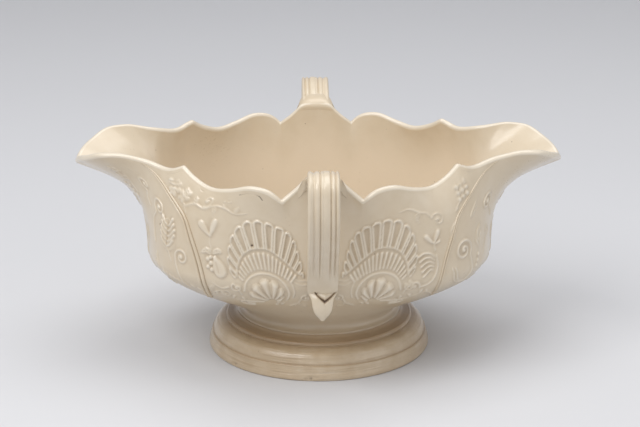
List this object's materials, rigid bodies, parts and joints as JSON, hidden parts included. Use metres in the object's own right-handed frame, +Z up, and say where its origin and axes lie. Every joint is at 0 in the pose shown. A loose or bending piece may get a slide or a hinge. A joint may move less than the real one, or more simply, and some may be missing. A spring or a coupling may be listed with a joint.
{
  "type": "sauceboat",
  "caption": "Double-lipped pouring bowl on a spreading hollow foot, with a reeded strap handle at the middle of each long side and a waved rim.",
  "frame": {"origin": "centre of the foot's resting face, at the bottom of the part", "axes": "+X along the bowl towards one pouring lip, +Y towards the back handle, +Z up out of the bowl"},
  "size_m": [0.2004, 0.169, 0.0964],
  "materials": {
    "bowl_glaze": "glossy cream salt glaze over moulded relief, warmer in the recesses",
    "foot_glaze": "glossy cream salt glaze with faint turning lines",
    "handle_glaze": "glossy cream salt glaze, thin on the reeds",
    "slip_glaze": "cream slip under the same glaze, pooled warmer"
  },
  "bodies": {
    "root": {"bowl": "bowl_glaze", "foot": "foot_glaze", "foot_slip_seam": "slip_glaze", "front_handle": "handle_glaze", "front_handle_root_slip": "slip_glaze", "front_handle_tail_slip": "slip_glaze", "back_handle": "handle_glaze", "back_handle_root_slip": "slip_glaze", "back_handle_tail_slip": "slip_glaze"}
  },
  "joints": []
}
